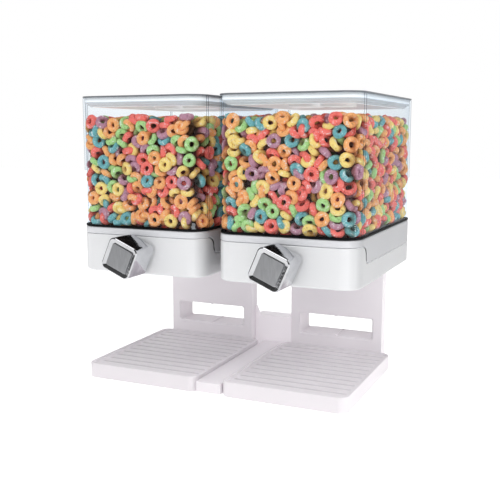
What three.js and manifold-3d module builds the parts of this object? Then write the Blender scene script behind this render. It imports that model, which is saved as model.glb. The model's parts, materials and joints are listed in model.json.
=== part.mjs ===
// Twin cereal dispenser: two clear canisters, each over its own hand-turned paddle wheel, on one stand.
// Millimetres, +Z up, knobs towards -Y. The origin is the middle of the footprint, on the table.
// Each unit is drawn around x = 0 with its canister centred on y = 0, then placed left or right.

import * as THREE from "three";
import { mergeVertices } from "three/addons/utils/BufferGeometryUtils.js";
import Module from "manifold-3d";

const wasm = await Module();
wasm.setup();

// ---- Driving dimensions ----

const GAP = 0.3; // clearance left between pieces that touch
const PITCH = 164.5; // from the middle of one unit to the middle of the other

const WIDTH = 150; // canister, collar and housing share one outline
const DEPTH = 222;
const CORNER = 20;
const BACK = DEPTH / 2;

const TOP = 308.4; // top of the lid
const FLANGE = 1.5; // thickness of the lid's overhanging edge
const SHOULDER = 6; // depth of the lid's full-width plug, below TOP
const LID_DEEP = 11.4;
const LID_INSET = 8; // from the plug in to the deep ring that carries the gasket
const LID_RING = 2.5; // thickness of that ring
const LID_SKIN = 2.4;
const WELL_DEEP = 9; // finger wells in the lid
const WELL_W = 26;
const WELL_LONG = 46;
const WELL_CORNER = 8;
const WELL_SKIN = 2;
const WELL_X = 18;
const GASKET_IN = 7.7; // from the canister's inside face to the inner and the lower edge of the gasket
const GASKET_TAPER = 5.5;
const CAN_TOP = TOP - FLANGE - GAP;
const CAN_WALL = 2;
const SEAL_TOP = 171.9;
const SEAL_HIGH = 2;
const CAN_BOTTOM = SEAL_TOP + GAP;
const COLLAR_TOP = SEAL_TOP - SEAL_HIGH - GAP;
const LEDGE = 4; // width of the collar's top edge, which carries the seal

const STEP_FRONT = 162.4; // lower edge of the collar across the front
const STEP_SIDE = 144; // lower edge of the collar along the sides and the back
const STEP_Y = -81.3; // where the lower edge steps from one height to the other
const STEP_R = (STEP_FRONT - STEP_SIDE) / 2;

const HOUSING_BOTTOM = 121.4;
const HOUSING_WALL = 3;
const FLOOR = 2.5;
const FLOOR_TOP = HOUSING_BOTTOM + FLOOR;

const AXIS_Z = 143.5; // height of the paddle wheel's shaft
const SHAFT_R = 3;
const BORE_R = SHAFT_R + 0.1;
const HUB_R = 7.2;
const SLEEVE_R = 9.3;
const VANE_R = 22.3;
const VANE = 2;
const VANES = 6;
const WHEEL_LONG = 77;
const DRUM_R = 23.3; // inside of the drum that the vanes sweep
const DRUM_WALL = 2.2;
const DRUM_LONG = 79.6; // inside length
const DRUM_TOP = 149.8;
const DRUM_FLANGE = 2;
const SPOUT_BOTTOM = 108;
const SPOUT_W = 31; // inside width of the outlet

const KNOB_SIDE = 35;
const KNOB_CORNER = 6;
const KNOB_WALL = 2.4;
const KNOB_BEZEL = 5;
const KNOB_FRONT = -148;
const KNOB_BACK = -114.3;
const KNOB_TURN = 23.5; // degrees clockwise, seen from the front
const KNOB_BOSS_R = 6.4;
const INLAY_DEEP = 1.2;
const INLAY_CORNER = 2.2;
const BUSH_R = 7.7;
const BUSH_FLANGE_R = 10.5;
const CLIP_R = 6;
const CLIP = 1.2;

const COLUMN_W = 112.5;
const COLUMN_Y = 58; // front face of the column
const COLUMN_DEEP = 36;
const COLUMN_BACK = COLUMN_Y + COLUMN_DEEP;
const COLUMN_CORNER = 24; // rear corners
const COLUMN_WALL = 2.5;
const COLUMN_SIDE = 12; // depth of the front shell's side walls
const COLUMN_TOP = HOUSING_BOTTOM - GAP;
const SLOT_W = 89;
const SLOT_LOW = 31.5;
const SLOT_HIGH = 55.5;
const SLOT_MID = (SLOT_LOW + SLOT_HIGH) / 2;
const SLOT_WALL = 2;
const SLOT_RIB = 1.2; // height of the rib along the slot's floor, and of the one along its roof

const TRAY_W = 135.4;
const TRAY_FRONT = -114;
const TRAY_BACK = COLUMN_Y - GAP;
const TRAY_TOP = 17.7;
const TRAY_BOTTOM = 1.2;
const TRAY_CORNER = 10;
const TRAY_WALL = 2.2;
const TRAY_RIM = 2.8;
const TRAY_FLOOR = TRAY_TOP - 2.7;
const TRAY_UNDER = TRAY_FLOOR - 2.6;
const GROOVES = 12;
const GROOVE_PITCH = 14;
const GROOVE_FIRST = -107;
const GROOVE_W = 2.4;
const GROOVE_DEEP = 1.1;

const PLATE_LOW = 2; // underside of the foot plate
const PLATE = 2.4;
const COLUMN_LOW = PLATE_LOW + PLATE + GAP;
const POST_R = 5; // screw bosses of the column
const SCREW_R = 1.7;
const SCREW_HEAD_R = 3.7;
const SCREW_HEAD = 1.4;
const SCREW_X = 40;
const SCREW_Y = 76;
const FOOT_R = 8;
const FRONT_FOOT = [50, TRAY_FRONT + 18]; // place of the feet beside the middle of the unit
const REAR_FOOT = [26, COLUMN_Y + 25];

const STRIP_W = 28.2;
const STRIP_TOP = 13.3;
const STRIP_WALL = 2.2;
const BRIDGE_Y = 69;
const BRIDGE_DEEP = 21;
const BRIDGE_TOP = 45.5;

// ---- Solids ----

// A closed three.js geometry as a solid that can be cut and joined; a solid stays as it is.
function solid(shape) {
  if (!shape.isBufferGeometry) return shape;
  const bare = shape.index ? shape.toNonIndexed() : shape;
  bare.deleteAttribute("normal");
  bare.deleteAttribute("uv");
  const merged = mergeVertices(bare, 1e-4);
  const vertProperties = merged.attributes.position.array;
  const triVerts = new Uint32Array(merged.index.array);
  return new wasm.Manifold(new wasm.Mesh({ numProp: 3, vertProperties, triVerts }));
}

const cut = (body, ...tools) => tools.reduce((left, tool) => left.subtract(solid(tool)), solid(body));
const join = (body, ...more) => more.reduce((all, piece) => all.add(solid(piece)), solid(body));
const common = (a, b) => solid(a).intersect(solid(b));
const bothSides = (make) => [make(-1), make(1)];

// The points of a rounded rectangle, anticlockwise.
function outline(w, d, r, steps) {
  const points = [];
  for (let corner = 0; corner < 4; corner++) {
    const cx = (corner === 0 || corner === 3 ? 1 : -1) * (w / 2 - r);
    const cy = (corner < 2 ? 1 : -1) * (d / 2 - r);
    for (let i = 0; i <= steps; i++) {
      const angle = (Math.PI / 2) * (corner + i / steps);
      points.push([cx + r * Math.cos(angle), cy + r * Math.sin(angle)]);
    }
  }
  return points;
}

// A shape through rounded rectangles stacked along Z, each given as [width, depth, radius, z].
function loft(sections, steps = 6) {
  const rings = sections.map(([w, d, r, z]) => outline(w, d, r, steps).map(([x, y]) => [x, y, z]));
  const n = rings[0].length;
  const last = rings.length - 1;
  const lowest = sections[0][3];
  const highest = sections[last][3];
  const position = [...rings.flat(2), 0, 0, lowest, 0, 0, highest];
  const centre = rings.length * n;
  const index = [];
  for (let i = 0; i < n; i++) {
    const j = (i + 1) % n;
    for (let k = 0; k < last; k++) {
      const a = k * n + i;
      const b = k * n + j;
      index.push(a, b, b + n, a, b + n, a + n);
    }
    index.push(centre, j, i, centre + 1, last * n + i, last * n + j);
  }
  const geometry = new THREE.BufferGeometry();
  geometry.setAttribute("position", new THREE.Float32BufferAttribute(position, 3));
  geometry.setIndex(index);
  return geometry;
}

const slab = (w, d, r, z0, z1, steps) => loft([[w, d, r, z0], [w, d, r, z1]], steps);

function box(x0, x1, y0, y1, z0, z1) {
  const geometry = new THREE.BoxGeometry(x1 - x0, y1 - y0, z1 - z0);
  return geometry.translate((x0 + x1) / 2, (y0 + y1) / 2, (z0 + z1) / 2);
}

// A round bar along Y at height z.
function barY(r, y0, y1, z, sides = 24) {
  return new THREE.CylinderGeometry(r, r, y1 - y0, sides).translate(0, (y0 + y1) / 2, z);
}

// A round bar standing at (x, y).
function barZ(r, z0, z1, x, y, sides = 16) {
  const geometry = new THREE.CylinderGeometry(r, r, z1 - z0, sides);
  return geometry.rotateX(Math.PI / 2).translate(x, y, (z0 + z1) / 2);
}

// A rounded rectangle drawn in (x, z) about height z, extruded along Y.
function slabY(w, h, r, y0, y1, z, steps = 4) {
  return slab(w, h, r, y0, y1, steps).rotateX(-Math.PI / 2).translate(0, 0, z);
}

// A profile drawn in (y, z), extruded along X over the given width about x = 0.
function alongX(profile, width) {
  const options = { depth: width, bevelEnabled: false, curveSegments: 4 };
  const basis = new THREE.Matrix4().makeBasis(
    new THREE.Vector3(0, 1, 0),
    new THREE.Vector3(0, 0, 1),
    new THREE.Vector3(1, 0, 0),
  );
  return new THREE.ExtrudeGeometry(profile, options).applyMatrix4(basis).translate(-width / 2, 0, 0);
}

// The outline that canister, collar and housing share, shrunk all round by the given inset.
const shell = (inset, z0, z1) => slab(WIDTH - 2 * inset, DEPTH - 2 * inset, CORNER - inset, z0, z1);

// ---- Lid and canister, with what is lifted off with them ----

// The lid closes the canister flush with its rim; two finger wells leave a bar to lift it by.
function lid() {
  const fit = CAN_WALL + GAP;
  const bottom = TOP - LID_DEEP;
  const plug = join(
    shell(0, TOP - FLANGE, TOP),
    shell(fit, TOP - SHOULDER, TOP - FLANGE + 0.1),
    shell(fit + LID_INSET, bottom, TOP - SHOULDER + 0.1),
  );
  const hollow = shell(fit + LID_INSET + LID_RING, bottom - 1, TOP - LID_SKIN);
  const cup = (s, skin, z0, z1) => {
    const shape = slab(WELL_W + 2 * skin, WELL_LONG + 2 * skin, WELL_CORNER + skin, z0, z1, 4);
    return shape.translate(s * WELL_X, 0, 0);
  };
  const wellWall = (s) => cup(s, WELL_SKIN, bottom + 0.4, TOP - 2);
  const well = (s) => cup(s, 0, TOP - WELL_DEEP, TOP + 1);
  return cut(join(cut(plug, hollow), ...bothSides(wellWall)), ...bothSides(well));
}

// Soft ring under the lid's shoulder, tapering inwards as it goes down.
function lidGasket() {
  const fit = CAN_WALL + GAP;
  const top = TOP - SHOULDER - GAP;
  const bottom = TOP - LID_DEEP + 0.3;
  const section = (inset, z) => [WIDTH - 2 * inset, DEPTH - 2 * inset, CORNER - inset, z];
  const outside = loft([section(fit + GASKET_TAPER, bottom), section(fit + 0.1, top)]);
  return cut(outside, shell(fit + GASKET_IN, bottom - 1, top + 1));
}

const canister = () => cut(shell(0, CAN_BOTTOM, CAN_TOP), shell(CAN_WALL, CAN_BOTTOM - 1, CAN_TOP + 1));

function canisterSeal() {
  const bottom = SEAL_TOP - SEAL_HIGH;
  return cut(shell(0, bottom, SEAL_TOP), shell(LEDGE, bottom - 1, SEAL_TOP + 1));
}

// Everything below the stepped joint between collar and housing, lowered by the given clearance.
function belowStep(clearance) {
  const far = BACK + 5;
  const low = HOUSING_BOTTOM - 5;
  const middle = (STEP_FRONT + STEP_SIDE) / 2;
  const profile = new THREE.Shape();
  profile.moveTo(-far, low);
  profile.lineTo(far, low);
  profile.lineTo(far, STEP_SIDE - clearance);
  profile.absarc(STEP_Y + STEP_R, middle, STEP_R + clearance, -Math.PI / 2, -Math.PI, true);
  profile.absarc(STEP_Y - STEP_R, middle, STEP_R - clearance, 0, Math.PI / 2, false);
  profile.lineTo(-far, STEP_FRONT - clearance);
  return alongX(profile, WIDTH + 10);
}

function collar() {
  const ring = cut(
    shell(0, STEP_SIDE - 4, COLLAR_TOP),
    shell(HOUSING_WALL, STEP_SIDE - 5, COLLAR_TOP - 2),
    shell(LEDGE, COLLAR_TOP - 3, COLLAR_TOP + 1),
  );
  return cut(ring, belowStep(0));
}

// Shallow funnel from the whole canister down to the mouth over the wheel.
function hopper() {
  const mouthW = 2 * DRUM_R + 2;
  const skin = 2;
  const top = COLLAR_TOP - GAP;
  const low = DRUM_TOP + GAP;
  const [w, d, r] = [WIDTH, DEPTH, CORNER].map((size, i) => size - (i < 2 ? 2 : 1) * (LEDGE + GAP));
  const outer = loft([
    [mouthW + 2 * skin, DRUM_LONG + 2 * skin, 3 + skin, low],
    [w, d, r, top - 2],
    [w, d, r, top],
  ]);
  const inner = loft([
    [mouthW, DRUM_LONG, 3, low - 1],
    [mouthW, DRUM_LONG, 3, low + 1],
    [w - 2 * skin, d - 2 * skin, r - skin, top - 0.4],
    [w - 2 * skin, d - 2 * skin, r - skin, top + 1],
  ]);
  return cut(outer, inner);
}

// ---- Housing, drum and paddle wheel ----

function housing() {
  const walls = cut(
    shell(0, HOUSING_BOTTOM, STEP_FRONT + 1),
    shell(HOUSING_WALL, FLOOR_TOP, STEP_FRONT + 2),
  );
  const screwHole = (s) => barZ(SCREW_R + 0.4, HOUSING_BOTTOM - 1, FLOOR_TOP + 1, s * SCREW_X, SCREW_Y, 10);
  return cut(
    common(walls, belowStep(GAP)),
    slab(SPOUT_W + 8, DRUM_LONG + 6, 4, HOUSING_BOTTOM - 1, FLOOR_TOP + 1, 4),
    barY(BUSH_R + GAP, -BACK - 1, -BACK + HOUSING_WALL + 1, AXIS_Z),
    ...bothSides(screwHole),
  );
}

// Trough the wheel turns in, with the outlet spout below it and a flange lying on the housing's floor.
function drumCasing() {
  const half = DRUM_LONG / 2;
  const end = half + DRUM_WALL;
  const flangeLow = FLOOR_TOP + GAP;
  const outside = join(
    barY(DRUM_R + DRUM_WALL, -end, end, AXIS_Z, 36),
    slab(SPOUT_W + 2 * DRUM_WALL, 2 * end, 2, SPOUT_BOTTOM, AXIS_Z - DRUM_R / 2, 3),
    slab(SPOUT_W + 35, 2 * end + 12, 5, flangeLow, flangeLow + DRUM_FLANGE, 3),
  );
  return cut(
    outside,
    barY(DRUM_R, -half, half, AXIS_Z, 36),
    box(-SPOUT_W / 2, SPOUT_W / 2, -half, half, SPOUT_BOTTOM - 1, AXIS_Z),
    box(-WIDTH / 2, WIDTH / 2, -BACK, BACK, DRUM_TOP, AXIS_Z + 2 * DRUM_R),
    barY(BORE_R, -end - 1, end + 1, AXIS_Z),
  );
}

function paddleHub() {
  const half = WHEEL_LONG / 2;
  return cut(barY(HUB_R, -half, half, AXIS_Z), barY(BORE_R, -half - 1, half + 1, AXIS_Z));
}

// Soft sleeve over the hub with its vanes.
function paddleVanes() {
  const half = WHEEL_LONG / 2;
  const vane = (_, i) => {
    const blade = box(SLEEVE_R - 1, VANE_R, -half, half, -VANE / 2, VANE / 2);
    return blade.rotateY((i / VANES) * 2 * Math.PI).translate(0, 0, AXIS_Z);
  };
  const vanes = Array.from({ length: VANES }, vane);
  const sleeve = join(barY(SLEEVE_R, -half, half, AXIS_Z), ...vanes);
  return cut(sleeve, barY(HUB_R + 0.2, -half - 1, half + 1, AXIS_Z));
}

const shaft = () => barY(SHAFT_R, KNOB_FRONT + 5, DRUM_LONG / 2 + 7, AXIS_Z);

// Ring on the shaft's rear end that keeps the wheel from being pulled out.
function shaftClip() {
  const y = DRUM_LONG / 2 + DRUM_WALL + GAP;
  return cut(barY(CLIP_R, y, y + CLIP, AXIS_Z, 16), barY(BORE_R, y - 1, y + CLIP + 1, AXIS_Z));
}

function frontBush() {
  const sleeve = barY(BUSH_R, -BACK - 1, -BACK + 6, AXIS_Z);
  const flange = barY(BUSH_FLANGE_R, -BACK - 2.2, -BACK - GAP, AXIS_Z);
  return cut(join(sleeve, flange), barY(BORE_R, -BACK - 4, -BACK + 8, AXIS_Z));
}

// Both knob pieces are drawn square about y; turnedKnob() turns them and lifts them onto the shaft.
function knob() {
  const inside = KNOB_SIDE - 2 * KNOB_WALL;
  const recess = KNOB_SIDE - 2 * KNOB_BEZEL;
  const cup = cut(
    slabY(KNOB_SIDE, KNOB_SIDE, KNOB_CORNER, KNOB_FRONT, KNOB_BACK, 0, 5),
    slabY(inside, inside, KNOB_CORNER - KNOB_WALL, KNOB_FRONT + 4, KNOB_BACK + 1, 0),
    slabY(recess, recess, INLAY_CORNER, KNOB_FRONT - 1, KNOB_FRONT + INLAY_DEEP, 0),
  );
  const boss = barY(KNOB_BOSS_R, KNOB_FRONT + 3, KNOB_BACK - 1, 0);
  return cut(join(cup, boss), barY(BORE_R, KNOB_FRONT + 4.6, KNOB_BACK + 1, 0));
}

function knobFace() {
  const side = KNOB_SIDE - 2 * (KNOB_BEZEL + GAP);
  return slabY(side, side, INLAY_CORNER - GAP, KNOB_FRONT + 0.1, KNOB_FRONT + INLAY_DEEP - GAP, 0);
}

// ---- Column, tray and base ----

// The column's plan from y0 back, shrunk by the given inset: square in front, rounded rear corners.
function columnPlan(inset, z0, z1, y0 = COLUMN_Y) {
  const deep = 2 * (COLUMN_DEEP - inset);
  const whole = slab(COLUMN_W - 2 * inset, deep, COLUMN_CORNER - inset, z0, z1);
  return common(whole.translate(0, COLUMN_Y, 0), box(-COLUMN_W, COLUMN_W, y0, COLUMN_BACK + 1, z0 - 1, z1 + 1));
}

const slotHole = () =>
  slabY(SLOT_W, SLOT_HIGH - SLOT_LOW, 2.5, COLUMN_Y - 1, COLUMN_BACK + 1, SLOT_MID, 3);

// The face and the short sides of the column.
function columnFace() {
  const half = COLUMN_W / 2;
  const seam = COLUMN_Y + COLUMN_SIDE;
  return cut(
    box(-half, half, COLUMN_Y, seam, COLUMN_LOW, COLUMN_TOP),
    box(-half + COLUMN_WALL, half - COLUMN_WALL, COLUMN_Y + COLUMN_WALL, seam + 1, 0, COLUMN_TOP + 1),
  );
}

// Front shell of the column: the face, the top plate, the walls of the slot and the screw bosses.
function column() {
  const inside = (z0, z1) => columnPlan(COLUMN_WALL + GAP, z0, z1);
  const slotHigh = SLOT_HIGH - SLOT_LOW + 2 * SLOT_WALL;
  const slotWalls = slabY(SLOT_W + 2 * SLOT_WALL, slotHigh, 4.5, COLUMN_Y, COLUMN_BACK, SLOT_MID, 3);
  const lowPost = (s) => barZ(POST_R, COLUMN_LOW, SLOT_LOW - 1, s * SCREW_X, SCREW_Y, 12);
  const topPost = (s) => barZ(POST_R, COLUMN_TOP - 18, COLUMN_TOP, s * SCREW_X, SCREW_Y, 12);
  const lowHole = (s) => barZ(SCREW_R + 0.2, 0, SLOT_LOW - 6, s * SCREW_X, SCREW_Y, 10);
  const topHole = (s) => barZ(SCREW_R + 0.2, COLUMN_TOP - 16, COLUMN_TOP + 1, s * SCREW_X, SCREW_Y, 10);
  const body = join(
    columnFace(),
    inside(COLUMN_TOP - COLUMN_WALL, COLUMN_TOP),
    common(slotWalls, inside(COLUMN_LOW, COLUMN_TOP)),
    ...bothSides(lowPost),
    ...bothSides(topPost),
  );
  const ribEnd = COLUMN_BACK - COLUMN_WALL - GAP;
  return join(
    cut(body, slotHole(), ...bothSides(lowHole), ...bothSides(topHole)),
    box(-0.9, 0.9, COLUMN_Y + 0.5, ribEnd, SLOT_LOW - 0.5, SLOT_LOW + SLOT_RIB),
    box(-0.9, 0.9, COLUMN_Y + 0.5, ribEnd, SLOT_HIGH - SLOT_RIB, SLOT_HIGH + 0.5),
  );
}

// Rear shell of the column with its rounded corners and the slot's rear opening.
function columnCover() {
  const outer = columnPlan(0, COLUMN_LOW, COLUMN_TOP, COLUMN_Y + COLUMN_SIDE + GAP);
  return cut(outer, columnPlan(COLUMN_WALL, 0, COLUMN_TOP + 1), slotHole());
}

// The tray's plan, shrunk all round by the given inset.
function trayPlan(inset, z0, z1) {
  const deep = TRAY_BACK - TRAY_FRONT - 2 * inset;
  const plan = slab(TRAY_W - 2 * inset, deep, TRAY_CORNER - inset, z0, z1);
  return plan.translate(0, (TRAY_FRONT + TRAY_BACK) / 2, 0);
}

// Lift-off tray with a raised rim and grooves across its floor; its back is open over the foot plate.
function tray() {
  const reach = TRAY_W / 2 - 6;
  const groove = (_, i) => {
    const y = GROOVE_FIRST + i * GROOVE_PITCH - GROOVE_W / 2;
    return box(-reach, reach, y, y + GROOVE_W, TRAY_FLOOR - GROOVE_DEEP, TRAY_FLOOR + 1);
  };
  const notch = COLUMN_W / 2 + 1;
  return cut(
    trayPlan(0, TRAY_BOTTOM, TRAY_TOP),
    trayPlan(TRAY_RIM, TRAY_FLOOR, TRAY_TOP + 1),
    trayPlan(TRAY_WALL, TRAY_BOTTOM - 1, TRAY_UNDER),
    box(-notch, notch, COLUMN_Y - 6, COLUMN_Y + 1, 0, COLUMN_LOW + 0.7),
    ...Array.from({ length: GROOVES }, groove),
  );
}

// Shallow pan inside the tray; its flat floor runs back under the column.
function footPlate() {
  const fit = TRAY_WALL + GAP;
  const rim = TRAY_UNDER - GAP;
  const floor = PLATE_LOW + PLATE;
  const half = COLUMN_W / 2;
  const reach = TRAY_W / 2 - fit - 1;
  const rib = (y) => box(-reach, reach, y - 1, y + 1, floor - 0.1, rim);
  const screwHole = (s) => barZ(SCREW_R + 0.4, PLATE_LOW - 1, floor + 1, s * SCREW_X, SCREW_Y, 10);
  const body = join(
    cut(trayPlan(fit, PLATE_LOW, rim), trayPlan(fit + 2.2, floor, rim + 1)),
    rib(-60),
    rib(-5),
    box(-half, half, COLUMN_Y - 8, COLUMN_Y + 1, PLATE_LOW, floor),
    columnPlan(0, PLATE_LOW, floor),
  );
  return cut(body, ...bothSides(screwHole));
}

// A pan-head screw whose head starts at z; the shank points up or down by the given signed length.
function screw(x, z, length) {
  const way = Math.sign(length);
  const bar = (r, a, b, sides) => barZ(r, Math.min(a, b), Math.max(a, b), x, SCREW_Y, sides);
  return join(bar(SCREW_HEAD_R, z, z + way * SCREW_HEAD, 12), bar(SCREW_R, z + way, z + length, 8));
}

const foot = (s, [x, y]) => barZ(FOOT_R, 0, PLATE_LOW - GAP, s * x, y);

// Low strip between the two trays, open underneath.
function baseStrip() {
  const w = STRIP_W / 2;
  const y0 = TRAY_FRONT + 1.5;
  const y1 = BRIDGE_Y - GAP;
  const t = STRIP_WALL;
  return cut(
    box(-w, w, y0, y1, PLATE_LOW, STRIP_TOP),
    box(-w + t, w - t, y0 + t, y1 - t, PLATE_LOW - 1, STRIP_TOP - t),
  );
}

// Block that ties the two columns together, open underneath, with a small web at each end.
function rearBridge() {
  const w = (PITCH - COLUMN_W) / 2 - GAP;
  const t = COLUMN_WALL;
  const y1 = BRIDGE_Y + BRIDGE_DEEP;
  const web = (s) => {
    const corners = [[w, -1], [w, 12], [w - 1.5, 12], [w - 7, -1]];
    const shape = new THREE.Shape(corners.map(([x, z]) => new THREE.Vector2(s * x, BRIDGE_TOP + z)));
    const geometry = new THREE.ExtrudeGeometry(shape, { depth: t, bevelEnabled: false });
    return geometry.rotateX(Math.PI / 2).translate(0, BRIDGE_Y + t, 0);
  };
  const block = cut(
    box(-w, w, BRIDGE_Y, y1, PLATE_LOW, BRIDGE_TOP),
    box(-w + t, w - t, BRIDGE_Y + t, y1 - t, PLATE_LOW - 1, BRIDGE_TOP - t),
  );
  return join(block, ...bothSides(web));
}

// ---- Finishes and assembly ----

const finish = (color, roughness, metalness = 0) => ({ color, roughness, metalness });
const WHITE = finish(0xf2f3f5, 0.3);
const CLEAR = { color: 0xe4eef5, roughness: 0.05, metalness: 0, transparent: true, opacity: 0.3 };
const RUBBER = finish(0x1b1c1e, 0.7);
const SILICONE = finish(0xc4c8cc, 0.6);
const CHROME = finish(0xd8dadd, 0.1, 1);
const BRUSHED = finish(0x9a9da1, 0.4, 1);
const STEEL = finish(0xb4b6ba, 0.35, 1);
const BUSH = finish(0xb9bcc0, 0.5);

// A named mesh from a solid, with a material of its own.
function part(name, body, look) {
  const { vertProperties, triVerts } = solid(body).getMesh();
  const geometry = new THREE.BufferGeometry();
  geometry.setAttribute("position", new THREE.BufferAttribute(vertProperties, 3));
  geometry.setIndex(new THREE.BufferAttribute(triVerts, 1));
  geometry.computeVertexNormals();
  const mesh = new THREE.Mesh(geometry, new THREE.MeshStandardMaterial(look));
  mesh.name = name;
  return mesh;
}

// The knob and its inlay, turned together about the shaft.
function turnedKnob(side) {
  const group = new THREE.Group();
  group.position.z = AXIS_Z;
  group.rotation.y = THREE.MathUtils.degToRad(KNOB_TURN);
  group.add(part(`knob_${side}`, knob(), CHROME), part(`knob_face_${side}`, knobFace(), BRUSHED));
  return group;
}

// Screws and feet come in pairs: a on the left of the unit's middle, b on the right.
function screwsAndFeet(side) {
  const under = PLATE_LOW - GAP - SCREW_HEAD;
  const above = FLOOR_TOP + GAP + SCREW_HEAD;
  return [["a", -1], ["b", 1]].flatMap(([end, s]) => [
    part(`base_screw_${side}_${end}`, screw(s * SCREW_X, under, 20), STEEL),
    part(`top_screw_${side}_${end}`, screw(s * SCREW_X, above, -17), STEEL),
    part(`front_foot_${side}_${end}`, foot(s, FRONT_FOOT), RUBBER),
    part(`rear_foot_${side}_${end}`, foot(s, REAR_FOOT), RUBBER),
  ]);
}

// One complete unit: canister, wheel, column and tray.
function unit(side, x) {
  const group = new THREE.Group();
  group.position.x = x;
  group.add(
    part(`lid_${side}`, lid(), WHITE),
    part(`lid_gasket_${side}`, lidGasket(), SILICONE),
    part(`canister_${side}`, canister(), CLEAR),
    part(`canister_seal_${side}`, canisterSeal(), RUBBER),
    part(`collar_${side}`, collar(), WHITE),
    part(`hopper_${side}`, hopper(), WHITE),
    part(`housing_${side}`, housing(), WHITE),
    part(`drum_casing_${side}`, drumCasing(), WHITE),
    part(`paddle_hub_${side}`, paddleHub(), WHITE),
    part(`paddle_vanes_${side}`, paddleVanes(), SILICONE),
    part(`shaft_${side}`, shaft(), STEEL),
    part(`shaft_clip_${side}`, shaftClip(), STEEL),
    part(`front_bush_${side}`, frontBush(), BUSH),
    turnedKnob(side),
    part(`column_${side}`, column(), WHITE),
    part(`column_cover_${side}`, columnCover(), WHITE),
    part(`tray_${side}`, tray(), WHITE),
    part(`foot_plate_${side}`, footPlate(), WHITE),
    ...screwsAndFeet(side),
  );
  return group;
}

const dispenser = new THREE.Group();
dispenser.name = "cereal_dispenser";
dispenser.position.y = -(KNOB_FRONT + BACK) / 2;
dispenser.add(
  unit("left", -PITCH / 2),
  unit("right", PITCH / 2),
  part("base_strip", baseStrip(), WHITE),
  part("rear_bridge", rearBridge(), WHITE),
);

export default dispenser;
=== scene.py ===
"""Looks of the twin cereal dispenser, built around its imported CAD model.

Lengths are in millimetres until a mesh, a material or a light takes them. Every part is placed by the box
of its CAD node.
"""

import json
import math

import bmesh
import bpy
import numpy as np
from mathutils import Matrix, Vector


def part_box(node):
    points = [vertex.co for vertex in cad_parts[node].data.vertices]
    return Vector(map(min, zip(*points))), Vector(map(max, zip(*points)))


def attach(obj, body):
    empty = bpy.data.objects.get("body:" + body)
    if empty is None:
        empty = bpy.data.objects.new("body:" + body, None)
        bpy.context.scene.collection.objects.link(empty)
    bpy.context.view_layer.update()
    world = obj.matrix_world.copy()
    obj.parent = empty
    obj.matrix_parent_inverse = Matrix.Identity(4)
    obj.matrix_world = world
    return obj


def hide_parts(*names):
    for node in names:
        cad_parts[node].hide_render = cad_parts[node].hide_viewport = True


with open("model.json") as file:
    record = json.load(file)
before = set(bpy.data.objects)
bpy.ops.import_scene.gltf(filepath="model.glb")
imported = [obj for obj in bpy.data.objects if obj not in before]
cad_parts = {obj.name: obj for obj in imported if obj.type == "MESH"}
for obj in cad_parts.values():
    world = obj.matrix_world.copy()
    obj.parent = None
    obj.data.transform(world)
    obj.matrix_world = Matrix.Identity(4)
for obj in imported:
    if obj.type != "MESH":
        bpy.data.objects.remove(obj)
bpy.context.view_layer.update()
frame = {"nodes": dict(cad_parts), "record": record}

MM = 0.001
SIDES = ("left", "right")
QUARTER = math.pi / 2
FULL_TURN = 4 * QUARTER

# Sizes that no box gives.
CORNER = 20  # plan radius of canister, collar and housing
GAP = 0.3  # between collar and housing, lid and canister, bezel and inlay
CAN_WALL = 2
LEDGE = 4  # width of the collar's top edge
LEDGE_THICK = 2
HOUSING_WALL = 3
HOUSING_FLOOR = 2.5
PAN_CAP = 9  # from the edge of housing or tray to the flat face in its middle
STEP_GAP = 2.2  # open joint at the upright part of the step
STEP_FROM_FRONT = 29.7  # middle of the step in the collar's lower edge
JOINT_DARK = (12, 14)  # how far behind the front the painted shadow in the joint goes from pale to dark
SPOUT_HOLE = (39, 85.6, 4)  # width, depth and corner of the hole in the housing's floor
SCREW_HOLE_R = 2.1
SCREW_X = 40
SCREW_Y = 76
BUSH_BORE_R = 8
LID_FLANGE = 1.5
LID_SHOULDER = 6
LID_INSET = 8  # from the lid's plug in to its deep part
LID_SKIN = 2.4
LID_WALL = 2.5  # thickness of its deep part
LID_LIT = (3, 5)  # how far below its top the lid's painted glow starts
LID_PAINTED_GLOW = (0.34, 0.45)  # painted light: glow of the upright and the level skin of its deep part, in place of light coming through them
WELL = (26, 46, 8)  # width, depth and corner of a finger well
WELL_X = 18
WELL_DEEP = 9
WELL_SKIN = 2
WELL_LIP = 1.2  # radius of a finger well's upper edge
TRAY_CORNER = 10
TRAY_RIM = 2.8
TRAY_WALL = 2.2
TRAY_DISH = 2.7  # depth of the tray's floor below its rim
TRAY_FLOOR = 2.6
GROOVES = 12
GROOVE_PITCH = 14
GROOVE_FIRST = 7  # from the tray's front edge
GROOVE_END = 6  # from its sides
GROOVE_DEEP = 1.6
GROOVE_R = 2.2
GROOVE_DARK = (0.1, 0.9)  # how far below the floor the painted shade in a groove goes from pale to dark
GROOVE_PAINTED_SHADE = 0.82  # how pale the painted shade leaves the bottom of a groove
SLOT = (89, 31.5, 55.5)  # width, bottom and top of the slot in the column
REBATE = (1.8, 1.1)  # width and depth of the sunk edge round the slot
KNOB_CORNER = 6
KNOB_WALL = 2.4
KNOB_BEZEL = 5
KNOB_BOSS_R = 6.4
KNOB_TURN = 23.5  # degrees clockwise, seen from the front
BEZEL_DROP = 0.9  # how far the bezel slopes back to the knob's sides
KNOB_FRONT = 4  # thickness of the knob's front wall
SHAFT_BORE_R = 3.1
INLAY_DEEP = 1.2
INLAY_CORNER = 1.9

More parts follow.
